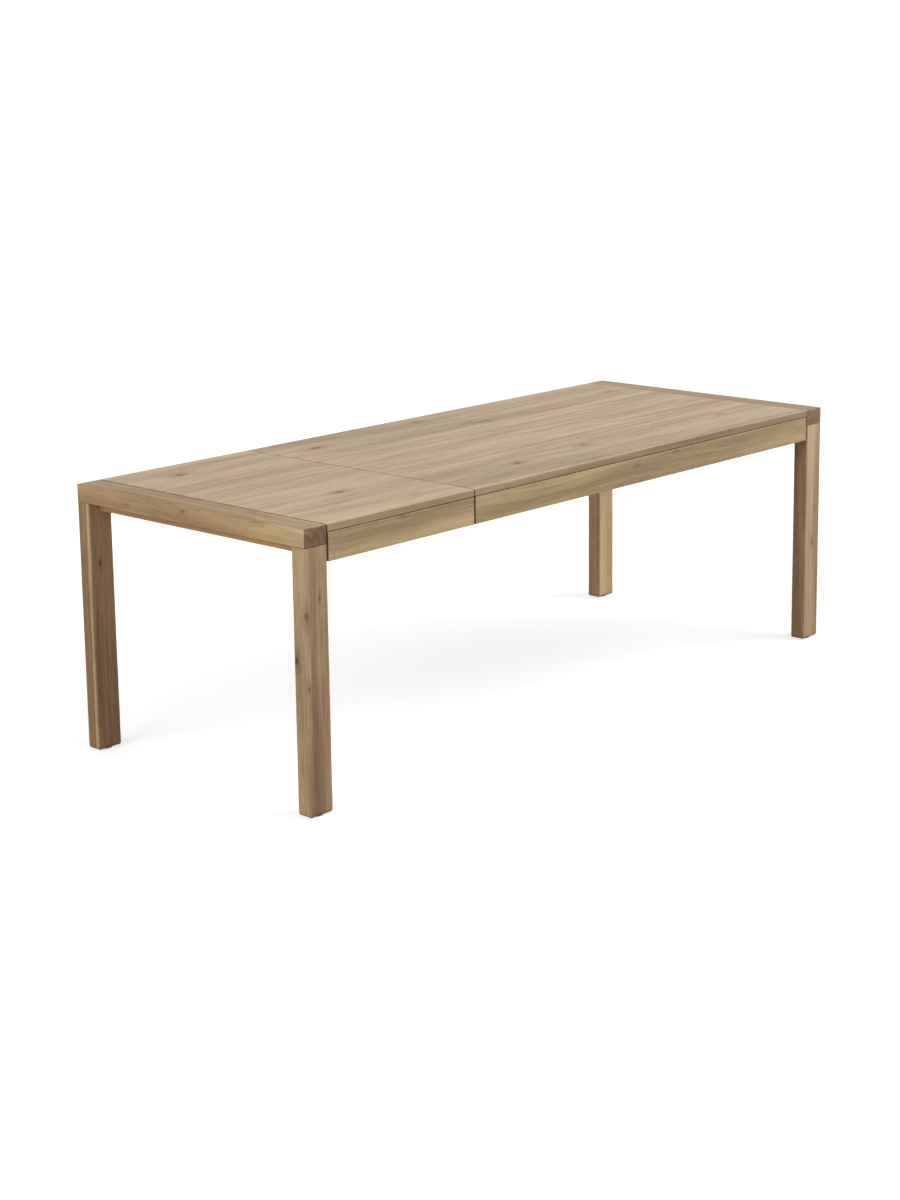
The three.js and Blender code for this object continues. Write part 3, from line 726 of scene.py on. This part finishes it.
def make_leg_bolts():
    for node in (n for n in sorted(frame["nodes"]) if n.endswith("_leg_bolt")):
        low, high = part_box(node)
        middle = (low + high) / 2
        outward = 1.0 if middle.x > 0 else -1.0
        start = Vector((low.x if outward > 0 else high.x, middle.y, middle.z))
        washer, length = (high.y - low.y) / 2, high.x - low.x
        head, shaft = 6.5 * MM, 4 * MM
        rings = [(0, 0, 0), (head - 1 * MM, 0, 0), (head, 0.6 * MM, 6), (head, 5 * MM, 6),
                 (washer - 0.3 * MM, 5 * MM, 0), (washer, 5.3 * MM, 0), (washer, 6.6 * MM, 0),
                 (shaft, 6.6 * MM, 0)]
        pitch = 1.25 * MM
        thread_start = 0.4 * length
        for turn in range(int((length - thread_start - 2 * MM) / pitch)):
            at = thread_start + turn * pitch
            rings += [(shaft, at, 0), (shaft - 0.6 * MM, at + pitch / 2, 0)]
        rings += [(shaft - 0.6 * MM, length - 0.5 * MM, 0), (shaft - 1.2 * MM, length, 0), (0, length, 0)]
        obj = make_object(node + "_look", turned_mesh(rings, start, (outward, 0, 0), 36), STEEL)
        obj.data.shade_smooth()
        obj.data.set_sharp_from_angle(angle=math.radians(35))
        stand_for(obj, node)


def make_locks():
    for side in ("front", "back"):
        for part in ("housing", "keeper"):
            eased_copy(f"lock_{part}_{side}", STEEL, 0.6 * MM)
        node = "lock_bolt_" + side
        low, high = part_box(node)
        axis_y, axis_z = (low.y + high.y) / 2, high.z - 5.5 * MM
        rod, stem, ball = 5.5 * MM, 3 * MM, 7 * MM
        length = high.x - low.x
        rod_rings = [(0, 0, 0), (rod - 0.8 * MM, 0, 0), (rod, 0.8 * MM, 0), (rod, length - 3 * MM, 0),
                     (rod - 2 * MM, length, 0), (0, length, 0)]
        rod_mesh = turned_mesh(rod_rings, (low.x, axis_y, axis_z), (1, 0, 0), 40)
        obj = make_object(node + "_look", rod_mesh, STEEL)
        drop = axis_z - low.z - ball
        knob_rings = [(0, 0, 0), (stem, 0, 0), (stem, drop - ball * 0.95, 0)]
        steps = 12
        for step in range(1, steps):
            angle = math.radians(154) * (1 - step / steps)
            knob_rings.append((ball * math.sin(angle), drop + ball * math.cos(angle), 0))
        knob_rings.append((0, drop + ball, 0))
        housing_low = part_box("lock_housing_" + side)[0]
        knob_x = housing_low.x + 12 * MM + stem + 1 * MM
        knob_mesh = turned_mesh(knob_rings, (knob_x, axis_y, axis_z), (0, 0, -1), 32)
        knob = make_object("knob", knob_mesh, STEEL)
        boolean(obj, knob, "UNION")
        obj.data.materials.clear()
        obj.data.materials.append(STEEL)
        obj.data.shade_smooth()
        obj.data.set_sharp_from_angle(angle=math.radians(30))
        stand_for(obj, node)


def make_screws():
    for side in ("front", "back"):
        screw_heads(f"end_cleat_screws_{side}", f"end_cleat_{side}", 4, "pull_out_end")
        screw_heads(f"long_cleat_screws_{side}", f"long_cleat_{side}", 9, "fixed_section")
        screw_heads(f"ledge_screws_{side}", f"leaf_ledge_{side}", 7, "fixed_section", rows=(0.35,))
        screw_heads(f"lip_screws_{side}", f"guide_lip_{side}", 4, "fixed_section", rows=(0.12, 0.88),
                    radius=3.5 * MM)
        screw_heads(f"stop_screws_{side}", f"runner_stop_{side}", 2, "pull_out_end")
        screw_heads(f"housing_screws_{side}", f"lock_housing_{side}", 1, "pull_out_end", rows=(0.1, 0.9),
                    radius=2 * MM, plate=3 * MM)
    for batten in ("leaf_stop_batten", "far_batten"):
        screw_heads(batten + "_screws", batten, 6, "fixed_section")
    screw_heads("pull_ledger_screws", "pull_end_ledger", 4, "pull_out_end")
    screw_heads("fixed_ledger_screws", "fixed_end_ledger", 4, "fixed_section")


# ---------- Stage ----------
def make_stage():
    scene = bpy.context.scene
    scene.view_settings.view_transform = "Standard"
    floor_mesh = bpy.data.meshes.new("floor")
    reach = 60.0
    level = -0.2 * MM  # just clear of the feet
    signs = [(-1, -1), (1, -1), (1, 1), (-1, 1)]
    corners = [(x * reach, y * reach, level) for x, y in signs]
    floor_mesh.from_pydata(corners, [], [(0, 1, 2, 3)])
    shader = Shader("pale_floor")
    shader.set("Base Color", (0.42, 0.42, 0.42, 1.0))
    shader.set("Roughness", 0.9)
    shader.set("Emission Color", (1.0, 1.0, 1.0, 1.0))
    seen = shader.add("ShaderNodeLightPath").outputs["Is Camera Ray"]
    shader.set("Emission Strength", shader.times(seen, 0.62))
    from_below = shader.add("ShaderNodeNewGeometry").outputs["Backfacing"]
    shader.set("Alpha", shader.minus(1.0, from_below))  # the floor is clear to a view from below
    make_object("floor", floor_mesh, shader.material)

    world = bpy.data.worlds.new("studio")
    world.use_nodes = True
    nodes, links = world.node_tree.nodes, world.node_tree.links
    background = nodes["Background"]
    background.inputs["Color"].default_value = (1.0, 1.0, 1.0, 1.0)
    backdrop = nodes.new("ShaderNodeMapRange")  # white behind the table, and softer as a light on it
    backdrop.inputs["To Min"].default_value = 0.62
    backdrop.inputs["To Max"].default_value = 1.0
    links.new(nodes.new("ShaderNodeLightPath").outputs["Is Camera Ray"], backdrop.inputs["Value"])
    links.new(backdrop.outputs[0], background.inputs["Strength"])
    scene.world = world

    lights = {"end_light": (1.9, (0.85, 0.05, -0.55)), "side_light": (2.1, (-0.45, 0.60, -0.65))}
    for name, (strength, travel) in lights.items():
        lamp = bpy.data.lights.new(name, "SUN")
        lamp.energy = strength
        lamp.angle = math.radians(40)
        light = bpy.data.objects.new(name, lamp)
        scene.collection.objects.link(light)
        light.rotation_euler = Vector(travel).to_track_quat("-Z", "Y").to_euler()


def make_camera():
    """The photograph's viewpoint: a long lens, about 2 m up, from beside the pull-out end."""
    camera = bpy.data.objects.new("camera", bpy.data.cameras.new("camera"))
    bpy.context.scene.collection.objects.link(camera)
    camera.data.sensor_width = 36.0
    camera.data.lens = 67.8
    camera.data.shift_y = -0.1
    camera.data.clip_end = 200.0
    azimuth, elevation, roll = math.radians(-47.28), math.radians(11.51), math.radians(-0.76)
    back = Vector((math.sin(azimuth) * math.cos(elevation), -math.cos(azimuth) * math.cos(elevation),
                   math.sin(elevation)))
    right = Vector((math.cos(azimuth), math.sin(azimuth), 0.0))
    up = back.cross(right)
    tilted_right = right * math.cos(roll) + up * math.sin(roll)
    tilted_up = up * math.cos(roll) - right * math.sin(roll)
    turn = Matrix((tilted_right, tilted_up, back)).transposed()
    camera.matrix_world = Matrix.Translation((-4.925, -4.432, 1.996)) @ turn.to_4x4()
    bpy.context.scene.camera = camera


make_camera()
make_stage()
make_tops()
make_ends()
make_legs()
make_aprons()
make_inner_wood()
make_dowels()
make_feet()
make_leg_bolts()
make_locks()
make_screws()
